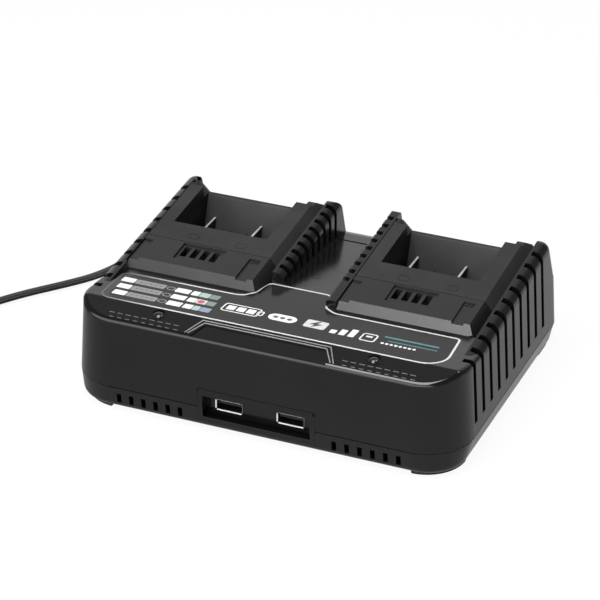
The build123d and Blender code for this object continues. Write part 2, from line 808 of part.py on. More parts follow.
def coil():
    """Outer form of the put-away turns."""
    ring = Cylinder(coil_mean_r + coil_half_w, coil_high) - Cylinder(coil_mean_r - coil_half_w, coil_high + 1)
    ring = fillet(ring.edges(), 2.4)
    return Pos(coil_x, coil_y, coil_high / 2) * ring


def plug_body():
    """Flat two-pole mains plug, waisted for the fingers."""
    half = plug_w / 2
    waist = half - 3.0
    corners = [
        (-4.0, 0, 1.5), (4.0, 0, 1.5), (waist, 11.0, 12.0), (half, 24.0, 14.0), (half, plug_l, 2.0),
        (-half, plug_l, 2.0), (-half, 24.0, 14.0), (-waist, 11.0, 12.0),
    ]
    body = extrude(sheet(corners), amount=plug_h)
    body = fillet(body.edges().group_by(Axis.Z)[0] + body.edges().group_by(Axis.Z)[-1], 3.0)
    return Pos(plug_x, plug_y, 0) * body


def plug_pins():
    """Two round pins with domed tips."""
    pins = []
    for sign in (-1, 1):
        x = plug_x + sign * 9.3
        y = plug_y + plug_l
        pin = bar_y(2.0, x, y, y + 19.0, plug_h / 2)
        pins.append(fillet(pin.edges().sort_by(Axis.Y)[-1], 1.2))
    return pins


def swept(route, radius):
    """A round lead along straight runs joined by arcs as large as the runs allow."""
    vectors = [Vector(*point) for point in route]
    radii = []
    for before, here, after in zip(vectors, vectors[1:], vectors[2:]):
        run = min((here - before).length, (after - here).length)
        turn = (here - before).get_angle(after - here)
        radii.append(0.45 * run / math.tan(math.radians(turn) / 2))
    path = FilletPolyline(*route, radius=radii)
    profile = Plane(origin=path @ 0, z_dir=path % 0) * Circle(radius)
    body = sweep(profile, path=path)
    print("lead radii", [round(r, 1) for r in radii], "length", round(path.length, 1),
          "volume ratio", round(body.volume / (math.pi * radius ** 2 * path.length), 3))
    return body


# ---------------------------------------------------------------- build
nodes["upper_housing"] = upper_housing()
nodes["lower_tray"] = lower_tray()
for side, centre in dock_centres.items():
    nodes[f"dock_insert_{side}"] = dock_insert(centre)
    nodes[f"dock_apron_{side}"] = dock_apron(centre)
    nodes[f"terminal_block_{side}"] = terminal_block(centre)
    nodes[f"contact_blades_{side}"] = Compound(children=contact_blades(centre))
    nodes[f"sense_contacts_{side}"] = Compound(children=sense_contacts(centre))

nodes["label_panel"] = label_block(0)
nodes["front_fascia"] = fascia()
for side, x in (("left", -lens_x), ("right", lens_x)):
    nodes[f"indicator_lens_{side}"] = lens(x)

nodes["usb_bezel"] = usb_bezel()
for side, x in zip(("left", "right"), usb_x):
    nodes[f"usb_shell_{side}"] = usb_shell(x)
    nodes[f"usb_tongue_{side}"] = usb_tongue(x)

nodes["charger_board"] = board(-80, 80, -44, 59, board_z, board_screw_places)
nodes["usb_board"] = board(-27, 27, -64.3, -45, board_z, usb_screw_places)
nodes["indicator_board"] = board(-58, 58, -64, -54, indicator_board_z, indicator_post_places)
nodes["indicator_leds"] = Compound(children=[led(-lens_x), led(lens_x)])
nodes["transformer_core"] = transformer_core()
nodes["transformer_winding"] = transformer_winding()
nodes["mains_capacitor"] = capacitor(8.5, 25.0, 0, -12)
nodes["output_capacitors"] = Compound(children=[
    capacitor(5.0, 13.0, x, -34.0) for x in (-54.0, -40.0, 40.0, 54.0)])
nodes["heatsink_left"] = heatsink(-62, -30, -14, 30)
nodes["heatsink_right"] = heatsink(30, 62, -14, 30)
nodes["filter_choke"] = choke(-44, 46)
nodes["mains_fuse"] = fuse(-16, 50)

for side_y, sign_y in (("front", -1), ("rear", 1)):
    for side_x, sign_x in (("left", -1), ("right", 1)):
        nodes[f"foot_{side_y}_{side_x}"] = corner_foot(sign_x, sign_y)
nodes["case_screws"] = Compound(children=[case_screw(x, y) for x, y in case_screw_places])
nodes["board_screws"] = Compound(children=[
    board_screw(x, y) for x, y in board_screw_places + usb_screw_places])

nodes["strain_relief"] = strain_relief()
nodes["mains_cord"] = swept(lead_route, lead_r)
nodes["cord_coil"] = coil()
nodes["cord_tail"] = swept(tail_route, lead_r)
nodes["plug_body"] = plug_body()
nodes["plug_pins"] = Compound(children=plug_pins())

for name, shape in nodes.items():
    shape.label = name
    export_step(shape, f"parts/{name}.step")
    print(name, len(shape.solids()), round(shape.volume))
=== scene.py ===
import math

import bpy
import bmesh
from mathutils import Matrix, Vector


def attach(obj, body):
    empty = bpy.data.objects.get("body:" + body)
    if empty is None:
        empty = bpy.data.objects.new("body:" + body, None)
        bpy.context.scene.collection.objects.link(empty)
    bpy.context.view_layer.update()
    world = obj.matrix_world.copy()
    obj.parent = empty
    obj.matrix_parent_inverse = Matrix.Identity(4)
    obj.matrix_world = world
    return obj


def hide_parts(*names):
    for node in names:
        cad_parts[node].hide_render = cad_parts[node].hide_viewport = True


# The looks of a twin-dock battery charger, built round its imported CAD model.
# Sizes here are in millimetres unless a name says otherwise; MM turns them into Blender's metres.

MM = 0.001

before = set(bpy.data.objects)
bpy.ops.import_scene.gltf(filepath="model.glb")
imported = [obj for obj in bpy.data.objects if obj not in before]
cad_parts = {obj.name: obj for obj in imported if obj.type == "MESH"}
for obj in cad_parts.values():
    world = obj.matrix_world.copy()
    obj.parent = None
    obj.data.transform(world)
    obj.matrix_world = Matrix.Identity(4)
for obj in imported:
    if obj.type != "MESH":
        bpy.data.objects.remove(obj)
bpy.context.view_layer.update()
scene = bpy.context.scene


def mm(*values):
    """A point or size in metres from millimetres."""
    return Vector(values) * MM


# ---------------------------------------------------------------- driving dimensions
TOP_FRONT = (-56.6, 49.26)       # (Y, Z) where the front strip ends and the top begins
TOP_SLOPE = -0.09
STRIP_FRONT = (-69.4, 46.0)      # (Y, Z) of the top edge of the front face
DOCK_REF = (17.7, 53.2)          # (Y, Z) of a point of the docks' top plane
DOCK_SLOPE = 0.091
DOCK_X = (-51.8, 51.8)
LENS_PLACE = (51.0, -60.4)
CORD_D = 5.0                     # width of the flat lead
CORD_THICK = 2.6
LEAD_Z = CORD_D / 2 + 0.1


def top_z(y):
    return TOP_FRONT[1] + TOP_SLOPE * (y - TOP_FRONT[0])


def strip_z(y):
    slope = (TOP_FRONT[1] - STRIP_FRONT[1]) / (TOP_FRONT[0] - STRIP_FRONT[0])
    return STRIP_FRONT[1] + slope * (y - STRIP_FRONT[0])


def dock_z(y):
    return DOCK_REF[1] + DOCK_SLOPE * (y - DOCK_REF[0])


# ---------------------------------------------------------------- camera
AZIMUTH = math.radians(22.94)
ELEVATION = math.radians(28.86)
AIM = (-0.4, 0, 30)
AIM_RIGHT, AIM_UP = -7.92, 5.01  # the view's centre, from the aim
DISTANCE = 1231
LENS_MM = 162.18
SENSOR_MM = 36.0
CLIP_M = (0.05, 20)


def make_camera():
    right = Vector((math.cos(AZIMUTH), math.sin(AZIMUTH), 0))
    back = Vector((
        math.sin(AZIMUTH) * math.cos(ELEVATION),
        -math.cos(AZIMUTH) * math.cos(ELEVATION),
        math.sin(ELEVATION),
    ))
    up = back.cross(right)
    place = mm(*AIM) + (AIM_RIGHT * right + AIM_UP * up + DISTANCE * back) * MM
    data = bpy.data.cameras.new("camera")
    data.lens = LENS_MM
    data.sensor_width = SENSOR_MM
    data.clip_start, data.clip_end = CLIP_M
    camera = bpy.data.objects.new("camera", data)
    scene.collection.objects.link(camera)
    turn = Matrix((right, up, back)).transposed().to_4x4()
    camera.matrix_world = Matrix.Translation(place) @ turn
    scene.camera = camera


make_camera()


# ---------------------------------------------------------------- node helpers
class Graph:
    """Short calls for adding nodes to a tree."""

    def __init__(self, tree):
        self.tree = tree

    def link(self, output, target):
        self.tree.links.new(output, target)

    def node(self, kind, inputs=None, **settings):
        """A node whose inputs are set to values, or linked where they are other nodes' outputs."""
        made = self.tree.nodes.new(kind)
        for key, value in settings.items():
            setattr(made, key, value)
        for key, value in (inputs or {}).items():
            if isinstance(value, bpy.types.NodeSocket):
                self.link(value, made.inputs[key])
            else:
                made.inputs[key].default_value = value
        return made

    def spread(self, value, low, high, from_low=0.3, from_high=0.7, kind="LINEAR"):
        """Maps a value's range, from_low to from_high, to low and high."""
        return self.node("ShaderNodeMapRange", {
            "Value": value, "From Min": from_low, "From Max": from_high,
            "To Min": low, "To Max": high,
        }, interpolation_type=kind).outputs["Result"]

    def calc(self, operation, first, second=0.0):
        return self.node("ShaderNodeMath", {0: first, 1: second}, operation=operation).outputs[0]

    def vector_calc(self, operation, inputs, output=0):
        return self.node("ShaderNodeVectorMath", inputs, operation=operation).outputs[output]

    def along(self, vector, direction):
        """How far a vector points along a direction."""
        return self.vector_calc("DOT_PRODUCT", {0: vector, 1: direction}, "Value")

    def scaled(self, vector, factor):
        return self.vector_calc("SCALE", {0: vector, 3: factor})


class Shader(Graph):
    """A Principled material."""

    def __init__(self, name, color, roughness, **sockets):
        self.material = bpy.data.materials.new(name)
        self.material.use_nodes = True
        super().__init__(self.material.node_tree)
        self.bsdf = self.tree.nodes["Principled BSDF"]
        self.set("Base Color", (*color, 1))
        self.set("Roughness", roughness)
        for socket, value in sockets.items():
            self.set(socket.replace("_", " "), value)
        self.coords = self.tree.nodes.new("ShaderNodeTexCoord").outputs["Object"]

    def set(self, socket, value):
        self.bsdf.inputs[socket].default_value = value

    def feed(self, socket, output):
        self.link(output, self.bsdf.inputs[socket])

    def noise(self, scale, detail=4.0, roughness=0.55, stretch=None):
        vector = self.coords
        if stretch:
            mapping = self.node("ShaderNodeMapping", {"Vector": vector, "Scale": stretch})
            vector = mapping.outputs[0]
        return self.node("ShaderNodeTexNoise", {
            "Vector": vector, "Scale": scale, "Detail": detail, "Roughness": roughness,
        }).outputs["Fac"]

    def shades(self, value, color, stops):
        """Shades of a colour over a value. A stop is a value and its share of the colour."""
        made = self.node("ShaderNodeValToRGB", {"Fac": value})
        for element, (place, share) in zip(made.color_ramp.elements, stops):
            element.position = place
            element.color = (*(c * share for c in color), 1)
        return made.outputs["Color"]

    def bump(self, height, strength, distance_mm, under=None):
        inputs = {"Height": height, "Strength": strength, "Distance": distance_mm * MM}
        made = self.node("ShaderNodeBump", inputs)
        if under is not None:
            self.link(under, made.inputs["Normal"])
        return made.outputs["Normal"]

    def facing(self, direction):
        """How far the surface faces a direction, from -1 to 1."""
        normal = self.node("ShaderNodeNewGeometry").outputs["Normal"]
        return self.along(normal, direction)

    def shaded_flanks(self, share, low, high):
        """1 on most faces, and a share on those that face left or right, which paints shade on
        those sides.
        """
        return self.spread(self.calc("ABSOLUTE", self.facing((1, 0, 0))), 1, share, low, high)

    def scale_color(self, factor):
        """Multiplies what reaches the base colour by a factor."""
        source = self.bsdf.inputs["Base Color"].links[0].from_socket
        self.feed("Base Color", self.scaled(source, factor))


# ---------------------------------------------------------------- kinds of surface
# Scales of the noises, in cells for each metre.
CLOUDS = 35
RUBS = 90
COARSE_GRAIN, FINE_GRAIN = 900, 2600
SMUDGES = 28
ORANGE_PEEL = 260
TINTS = 60
DRAWN_LINES = 700
STAINS = 220
INK_PATCHES = 700

# Shades of a colour over a noise, as two stops.
CLOUD_SHADES = ((0.35, 0.86), (0.65, 1.16))
TINT_SHADES = ((0.3, 0.8), (0.7, 1))
STAIN_SHADES = ((0.35, 0.78), (0.6, 1))
PATCH_SHADES = ((0.3, 0.86), (0.6, 1))

FINE_DEPTH, COARSE_DEPTH = 0.05, 0.08
PEEL_DEPTH, LINE_DEPTH, INK_DEPTH = 0.08, 0.02, 0.02
ALONG_Y = (1, 0.12, 1)           # stretches rub marks along Y, the way the batteries slide
WELL_REAR_Y = (38, 42)           # the wells' rear walls begin between these
BORDER_SHADE_X = (-82, -50)       # the overlay's left end, where painted shade darkens its border


def moulded(name, color, roughness, grain=0.35, rub=(1, 1, 1), **sockets):
    """Injection-moulded plastic: eroded grain, faint clouds and a gloss uneven from handling."""
    shader = Shader(name, color, roughness, **sockets)
    clouds = shader.noise(CLOUDS, 3)
    shader.feed("Base Color", shader.shades(clouds, color, CLOUD_SHADES))
    rubs = shader.noise(RUBS, 5, 0.55, rub)
    shader.feed("Roughness", shader.spread(rubs, roughness - 0.03, roughness + 0.04))
    fine = shader.bump(shader.noise(FINE_GRAIN, 2, 0.6), grain, FINE_DEPTH)
    coarse = shader.noise(COARSE_GRAIN, 2)
    shader.feed("Normal", shader.bump(coarse, grain * 0.4, COARSE_DEPTH, fine))
    return shader


def insert_plastic():
    """Dock insert, with painted light on the wells' rear walls and painted shade on its faces that
    look left or right.
    """
    shader = moulded("insert_plastic", (0.0247, 0.0247, 0.0256), 0.5, 0.3, ALONG_Y,
                     Specular_IOR_Level=0.14)
    # Painted light: faces that look forward, behind the wells' front, get up to 1.85 times the
    # colour.
    deep_y = shader.along(shader.coords, (0, 1, 0))
    deep = shader.spread(deep_y, 0, 1, *(y * MM for y in WELL_REAR_Y))
    forward = shader.spread(shader.facing((0, -1, 0)), 0, 1, 0.5, 0.9)
    rear_wall_light = shader.calc("MULTIPLY", shader.calc("MULTIPLY", forward, deep), 0.85)
    rear_wall_lit = shader.calc("ADD", rear_wall_light, 1)
    # Painted shade: faces that look left or right keep only 0.3 of the colour.
    shader.scale_color(shader.calc("MULTIPLY", shader.shaded_flanks(0.3, 0.8, 0.95), rear_wall_lit))
    return shader


def apron_plastic():
    """Dock apron: faces that look forward, its ramp among them, get painted light, up to 2.9 times
    the colour.
    """
    shader = moulded("apron_plastic", (0.0056, 0.0056, 0.006), 0.33, 0.2, ALONG_Y)
    ramp = shader.spread(shader.facing((0, -1, 0)), 0, 1, 0.4, 0.6)
    # Painted light on the forward-facing ramp.
    shader.scale_color(shader.calc("ADD", shader.calc("MULTIPLY", ramp, 1.9), 1))
    return shader


def polished(name, color, roughness=0.06, **sockets):
    """High-gloss plastic: smudges in its gloss and a faint orange peel."""
    shader = Shader(name, color, roughness, **sockets)
    smudges = shader.noise(SMUDGES, 6, 0.6)
    shader.feed("Roughness", shader.spread(smudges, roughness * 0.7, roughness + 0.07))
    shader.feed("Normal", shader.bump(shader.noise(ORANGE_PEEL, 2), 0.08, PEEL_DEPTH))
    shader.feed("Base Color", shader.shades(shader.noise(TINTS, 3), color, TINT_SHADES))
    return shader


def metal(name, color, roughness, stretch=(1, 1, 1)):
    """Bare metal with drawn lines along its stretch and small stains."""
    shader = Shader(name, color, roughness, Metallic=1.0)
    lines = shader.noise(DRAWN_LINES, 3, 0.6, stretch)
    shader.feed("Roughness", shader.spread(lines, roughness * 0.8, roughness + 0.12))
    shader.feed("Base Color", shader.shades(shader.noise(STAINS, 4), color, STAIN_SHADES))
    shader.feed("Normal", shader.bump(lines, 0.15, LINE_DEPTH))
    return shader


def blade_metal():
    """Tinned blade, with painted shade on its sides that look left or right, down to 6 per cent of
    its colour.
    """
    shader = metal("contact_metal", (0.9, 0.89, 0.86), 0.58, (1, 8, 1))
    # Painted shade on the blade's sides.
    shader.scale_color(shader.shaded_flanks(0.06, 0.5, 0.9))
    return shader


def ink(name, color, roughness=0.35, shaded_span=None):
    """Screen-printed ink, slightly uneven. Where a span along X is given, painted shade darkens it
    to the left, down to 12 per cent.
    """
    shader = Shader(name, color, roughness)
    patches = shader.noise(INK_PATCHES, 4)
    tone = shader.shades(patches, color, PATCH_SHADES)
    if shaded_span:
        # Painted shade: the ink darkens towards the left end of the span.
        place = shader.along(shader.coords, (1, 0, 0))
        tone = shader.scaled(tone, shader.spread(place, 0.12, 1.0, *(x * MM for x in shaded_span)))
    shader.feed("Base Color", tone)
    shader.feed("Normal", shader.bump(patches, 0.1, INK_DEPTH))
    return shader


# ---------------------------------------------------------------- materials
FINISHES = {
    "housing": moulded("housing_plastic", (0.004, 0.004, 0.0042), 0.18, 0.12),
    "insert": insert_plastic(),
    "apron": apron_plastic(),
    "overlay": polished("gloss_overlay", (0.012, 0.012, 0.0125), 0.16, Specular_IOR_Level=0.15),
    "gloss": polished("gloss_black", (0.003, 0.003, 0.0032), 0.06),
    "lens": polished("lens_smoked", (0.012, 0.012, 0.013), 0.03),
    "dark": moulded("dark_plastic", (0.004, 0.004, 0.0042), 0.5),
    "seam": moulded("seam_plastic", (0.002, 0.002, 0.0021), 0.6, Specular_IOR_Level=0.06),
    "rubber": moulded("foot_rubber", (0.008, 0.008, 0.008), 0.7),
    "sheath": moulded("cord_sheath", (0.005, 0.005, 0.0052), 0.3, 0.12),
    "plug": moulded("plug_plastic", (0.008, 0.008, 0.0082), 0.4),
    "contact": blade_metal(),
    "sense": metal("sense_metal", (0.12, 0.115, 0.1), 0.4, (1, 8, 1)),
    # Socket steel, darkened: its colour also paints the shade inside the sockets.
    "steel": metal("socket_steel", (0.3, 0.3, 0.29), 0.3, (1, 10, 1)),
    # pale ink on the socket lips: painted highlights
    "lip": ink("socket_lip", (0.78, 0.78, 0.77), 0.3),
    "gold": metal("contact_gold", (0.55, 0.42, 0.16), 0.25, (1, 8, 1)),
    "pin": metal("pin_nickel", (0.7, 0.69, 0.66), 0.14, (1, 9, 1)),
    "screw": metal("screw_zinc", (0.55, 0.55, 0.56), 0.28),
    "heatsink": metal("heatsink_aluminium", (0.75, 0.76, 0.77), 0.32, (1, 12, 1)),
    "board": polished("circuit_board", (0.012, 0.07, 0.025), 0.3),
    "ferrite": moulded("ferrite", (0.03, 0.03, 0.031), 0.6),
    "tape": polished("winding_tape", (0.62, 0.42, 0.04), 0.3),
    "sleeve": polished("can_sleeve", (0.015, 0.016, 0.03), 0.25),
    "ceramic": moulded("fuse_ceramic", (0.6, 0.57, 0.5), 0.5),
    "led": polished("led_resin", (0.75, 0.72, 0.5), 0.15),
    "silver_ink": ink("silver_ink", (0.56, 0.56, 0.56)),
    # the border fades into painted shade at its left end
    "border_ink": ink("border_ink", (0.6, 0.6, 0.6), shaded_span=BORDER_SHADE_X),
    # pale ink that paints highlights along the step's edges
    "highlight_ink": ink("highlight_ink", (0.2, 0.2, 0.2)),
    "white_ink": ink("white_ink", (0.72, 0.72, 0.72)),
    "grey_ink": ink("grey_ink", (0.21, 0.21, 0.21)),
    "dim_ink": ink("dim_ink", (0.07, 0.07, 0.07)),
    "black_ink": ink("black_ink", (0.02, 0.02, 0.02)),
    "mint_ink": ink("mint_ink", (0.34, 0.47, 0.42)),
    "moss_ink": ink("moss_ink", (0.17, 0.22, 0.19)),
    "red_ink": ink("red_ink", (0.5, 0.06, 0.11)),
    "blue_ink": ink("blue_ink", (0.22, 0.26, 0.36)),
    "teal_ink": ink("teal_ink", (0.06, 0.19, 0.2)),
}

# The finish of each CAD node, by what its name begins with.
NODE_FINISH = {
    "upper_housing": "housing", "lower_tray": "housing", "usb_bezel": "housing",
    "label_panel": "overlay", "front_fascia": "gloss", "indicator_lens": "lens",
    "dock_insert": "insert", "dock_apron": "apron", "terminal_block": "dark",
    "contact_blades": "contact", "sense_contacts": "sense",
    "usb_shell": "steel", "usb_tongue": "dark", "foot": "rubber",
    "charger_board": "board", "usb_board": "board", "indicator_board": "board",
    "indicator_leds": "led", "transformer_core": "ferrite", "transformer_winding": "tape",
    "mains_capacitor": "sleeve", "output_capacitors": "sleeve", "heatsink": "heatsink",
    "filter_choke": "tape", "mains_fuse": "ceramic",
    "case_screws": "screw", "board_screws": "screw",
    "strain_relief": "sheath", "mains_cord": "sheath", "cord_coil": "sheath",
    "cord_tail": "sheath", "plug_body": "plug", "plug_pins": "pin",
}


def finish_of(node):
    return next(finish for start, finish in NODE_FINISH.items() if node.startswith(start))


def dress(obj, finish):
    obj.data.materials.clear()
    obj.data.materials.append(FINISHES[finish].material)


for node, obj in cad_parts.items():
    dress(obj, finish_of(node))


# ---------------------------------------------------------------- mains lead
LEAD_ROUTE = [
    (-62.0, 75.0, 8.8),
    (-62.0, 101.0, 8.8),
    (-75.0, 123.5, 6.0),
    (-97.0, 130.2, 3.2),
    (-117.7, 120.1, LEAD_Z),
    (-125.9, 98.6, LEAD_Z),
    (-124.0, 76.0, LEAD_Z),
    (-124.5, 56.0, LEAD_Z),
    (-131.5, 36.3, LEAD_Z),
    (-143.0, 21.5, LEAD_Z),
    (-155.5, 7.0, LEAD_Z),
    (-166.5, -9.0, LEAD_Z),
    (-175.5, -25.0, LEAD_Z),
    (-179.3, -42.0, LEAD_Z),
]
TAIL_ROUTE = [                   # over the coil's turns and on to the plug
    (-186.7, -50.9, 7.3),
    (-192.1, -58.8, 8.4),
    (-200.0, -64.0, 9.0),
    (-209.6, -65.9, 9.1),
    (-219.4, -64.3, 9.1),
    (-228.4, -59.6, 9.1),
    (-236.4, -52.6, 8.9),
    (-241.9, -44.0, 8.4),
    (-244.8, -34.5, 7.7),
    (-246.0, -25.5, 7.1),
    (-246.0, -18.0, 6.85),
]
COIL_X, COIL_Y = -207.0, -41.0
COIL_RADIUS = 27.5
LEAD_IN_Y = -1.0                 # the lead meets the coil this far from its centre line
TURN_POINTS = 14
TURN_PITCH = 5.1                 # between turns side by side
LAYER_Z = (2.6, 6.4)             # two layers of the flat lead
COIL_TRACKS = ((0, 0), (1, 0), (2, 0), (2, 1), (1, 1), (0, 1))
GROOVE_DEPTH, GROOVE_W = 0.16, 0.45
PROFILE_POINTS = 28
SIDE_FULLNESS = 0.75             # 1 is an ellipse, less has fuller sides


def coil_points():
    """Turns side by side in two layers. Each passes on to the next in its last quarter."""
    points = []
    start = math.atan2(LEAD_IN_Y, COIL_RADIUS)
    total = len(COIL_TRACKS) * TURN_POINTS
    for step in range(1, total + 1):
        turn = min(step / TURN_POINTS, len(COIL_TRACKS) - 1e-6)
        index = int(turn)
        here = COIL_TRACKS[index]
        after = COIL_TRACKS[min(index + 1, len(COIL_TRACKS) - 1)]
        share = max(0.0, (turn - index) * 4 - 3)
        across = here[0] + (after[0] - here[0]) * share
        layer = here[1] + (after[1] - here[1]) * share
        radius = COIL_RADIUS + (across - 1) * TURN_PITCH
        angle = start - 2 * math.pi * turn
        x, y = COIL_X + radius * math.cos(angle), COIL_Y + radius * math.sin(angle)
        points.append((x, y, LAYER_Z[0] + (LAYER_Z[1] - LAYER_Z[0]) * layer))
    return points


def lead_profile():
    """Cross-section of the flat two-core lead: two rounds with a shallow groove between them."""
    data = bpy.data.curves.new("lead_profile", "CURVE")
    data.dimensions = "2D"
    spline = data.splines.new("POLY")
    spline.points.add(PROFILE_POINTS - 1)
    for index, target in enumerate(spline.points):
        angle = 2 * math.pi * index / PROFILE_POINTS
        across = CORD_D / 2 * math.cos(angle)
        waist = 1 - GROOVE_DEPTH * math.exp(-((across / GROOVE_W) ** 2))
        thick = CORD_THICK / 2 * abs(math.sin(angle)) ** SIDE_FULLNESS * waist
        target.co = (across * MM, math.copysign(thick, math.sin(angle)) * MM, 0, 1)
    spline.use_cyclic_u = True
    return bpy.data.objects.new("lead_profile", data)


def nurbs(name, points, profile):
    data = bpy.data.curves.new(name, "CURVE")
    data.dimensions = "3D"
    spline = data.splines.new("NURBS")
    spline.points.add(len(points) - 1)
    for target, point in zip(spline.points, points):
        target.co = (*mm(*point), 1)
    spline.order_u = 3
    spline.use_endpoint_u = True
    spline.use_smooth = True
    data.resolution_u = 8
    data.twist_mode = "Z_UP"
    data.bevel_mode = "OBJECT"
    data.bevel_object = profile
    data.use_fill_caps = True
    obj = bpy.data.objects.new(name, data)
    scene.collection.objects.link(obj)
    return obj


def make_lead():
    lead = nurbs("mains_lead", LEAD_ROUTE + coil_points() + TAIL_ROUTE, lead_profile())
    dress(lead, "sheath")
    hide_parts("mains_cord", "cord_coil", "cord_tail")
    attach(lead, "root")


make_lead()


# ---------------------------------------------------------------- raised and printed shapes
PRINT = (0.06, -0.05)            # top and foot of a printed shape, above the surface
OVERPRINT = (0.1, 0.03)          # the same for print on another print
MOULDED_FOOT = -0.2              # foot of a moulded shape
LEAST_OUT = 0.4                  # keeps sharp corners of an outline from moving too far


def rounded(corners, steps=6):
    """Outline of a polygon whose corners (x, y, radius) are rounded with arcs."""
    outline = []
    count = len(corners)
    for index, (x, y, radius) in enumerate(corners):
        here = Vector((x, y))
        before = (Vector(corners[index - 1][:2]) - here).normalized()
        after = (Vector(corners[(index + 1) % count][:2]) - here).normalized()
        if radius <= 0:
            outline.append((x, y))
            continue
        half = before.angle(after) / 2
        centre = here + (before + after).normalized() * (radius / math.sin(half))
        first = here + before * (radius / math.tan(half)) - centre
        last = here + after * (radius / math.tan(half)) - centre
        turn = first.angle_signed(last)
        for step in range(steps + 1):
            angle = -turn * step / steps
            cos, sin = math.cos(angle), math.sin(angle)
            outline.append((centre.x + first.x * cos - first.y * sin,
                            centre.y + first.x * sin + first.y * cos))
    return outline


def grown(outline, amount):
    """The outline with each point moved outwards by an amount, inwards where it is negative."""
    count = len(outline)
    area = sum(outline[i - 1][0] * outline[i][1] - outline[i][0] * outline[i - 1][1]
               for i in range(count))
    side = math.copysign(amount, area)
    moved = []
    for index in range(count):
        before = Vector(outline[index]) - Vector(outline[index - 1])
        after = Vector(outline[(index + 1) % count]) - Vector(outline[index])
        first = Vector((before.y, -before.x)).normalized()
        second = Vector((after.y, -after.x)).normalized()
        out = (first + second).normalized()
        share = side / max(out.dot(first), LEAST_OUT)
        moved.append((outline[index][0] + out.x * share, outline[index][1] + out.y * share))
    return moved


def bar(x0, x1, y0, y1, radius=0.0):
    corners = [(x0, y0), (x1, y0), (x1, y1), (x0, y1)]
    return rounded([(*corner, radius) for corner in corners], steps=4)


def disc(x, y, radius, count=20):
    turn = 2 * math.pi / count
    return [(x + radius * math.cos(turn * i), y + radius * math.sin(turn * i))
            for i in range(count)]


def settle(obj, finish):
    """Links a new piece, dresses it and makes it ride."""
    scene.collection.objects.link(obj)
    dress(obj, finish)
    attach(obj, "root")


def add_piece(name, build, finish):
    mesh = bpy.data.meshes.new(name)
    bmesh.ops.recalc_face_normals(build, faces=build.faces)
    build.to_mesh(mesh)
    build.free()
    settle(bpy.data.objects.new(name, mesh), finish)


def loop_of(build, outline, height):
    return [build.verts.new(mm(x, y, height(y))) for x, y in outline]


def wall_between(build, low, high):
    for index in range(len(low)):
        build.faces.new((low[index - 1], low[index], high[index], high[index - 1]))


def pads(name, outlines, finish, surface, heights=PRINT, draft=0.0):
    """Flat shapes that stand a little proud of a surface. Their sides lean in by the draft."""
    high, low = heights
    build = bmesh.new()
    for outline in outlines:
        crown_line = grown(outline, -draft) if draft else outline
        foot = loop_of(build, outline, lambda y: surface(y) + low)
        crown = loop_of(build, crown_line, lambda y: surface(y) + high)
        wall_between(build, foot, crown)
        build.faces.new(crown)
        build.faces.new(foot[::-1])
    add_piece(name, build, finish)


def rings(name, outlines, width, finish, surface, heights=PRINT):
    """Closed lines of a given width, as thin raised bands."""
    high, low = heights
    build = bmesh.new()
    for outline in outlines:
        inner = grown(outline, -width)
        section = ((outline, low), (outline, high), (inner, high), (inner, low))
        loops = [loop_of(build, path, lambda y, z=z: surface(y) + z) for path, z in section]
        for first, second in zip(loops, loops[1:] + loops[:1]):
            wall_between(build, first, second)
    add_piece(name, build, finish)


def beads(name, routes, radius, finish):
    """Moulded beads: rounds that follow lines and stand half out of the surface."""
    data = bpy.data.curves.new(name, "CURVE")
    data.dimensions = "3D"
    for route in routes:
        spline = data.splines.new("POLY")
        spline.points.add(len(route) - 1)
        for target, point in zip(spline.points, route):
            target.co = (*mm(*point), 1)
    data.bevel_depth = radius * MM
    data.bevel_resolution = 3
    data.use_fill_caps = True
    settle(bpy.data.objects.new(name, data), finish)


# ---------------------------------------------------------------- printing on the overlay
BORDER = [
    (-82.2, -56.1, 5.0), (79.9, -56.1, 9.5), (79.3, -44.0, 12.0), (77.6, -27.2, 1.6),
    (18.6, -27.2, 7.0), (12.6, -23.0, 5.0), (10.2, -9.9, 2.6), (-19.6, -9.9, 2.6),
    (-21.0, -22.0, 5.0), (-25.4, -28.2, 7.0), (-83.0, -28.9, 3.0),
]
BORDER_W = 0.95

# The table's cells are (row, start, end), measured along the row from its own start.
ROW_Y = (-35.2, -42.3, -49.4)
ROWS = range(len(ROW_Y))
ROW_X = -81.0
ROW_STEP = 1.15                  # each row starts this much further right
CELL_H = 4.5
CELL_R = 0.5
STATE_CELL, NOTE_CELL, LAMP_CELL = (0, 6.4), (6.8, 21.4), (26.6, 33.6)
FIRST_CELLS = {
    "table_white": ("white_ink", [(row, *ends) for row in ROWS for ends in (STATE_CELL, LAMP_CELL)]
                    + [(0, 34.6, 38.2), (1, 34.6, 38.6), (2, 34.6, 38.8)]),
    "table_grey": ("grey_ink", [(row, *NOTE_CELL) for row in ROWS]),
}
LAST_CELLS = {
    "table_mint": ("mint_ink", [(0, 38.5, 43.2), (2, 39.1, 42.4)]),
    "table_moss": ("moss_ink", [(0, 43.4, 48.0), (1, 44.0, 48.0)]),
    "table_pale": ("silver_ink", [(1, 38.9, 43.7)]),
    "table_blue": ("blue_ink", [(2, 42.7, 47.6)]),
}
TICK_STARTS = [8.6 + 2.4 * i for i in range(5)]
TICK_L, TICK_HALF_H, TICK_R = 1.4, 0.35, 0.2
TICK_HEIGHTS = (0.09, 0.03)
KEY_ENDS, KEY_HALF_H, KEY_R, KEY_W = (22.6, 25.6), 1.2, 1.1, 0.55
RED_LAMP_X, RED_LAMP_R = -38.8, 1.7


def in_row(row, start, end, half_h, radius):
    """A bar on a row of the table."""
    x = ROW_X + ROW_STEP * row
    return bar(x + start, x + end, ROW_Y[row] - half_h, ROW_Y[row] + half_h, radius)


def print_cells(table):
    for name, (finish, cells) in table.items():
        pads(name, [in_row(*cell, CELL_H / 2, CELL_R) for cell in cells], finish, top_z)


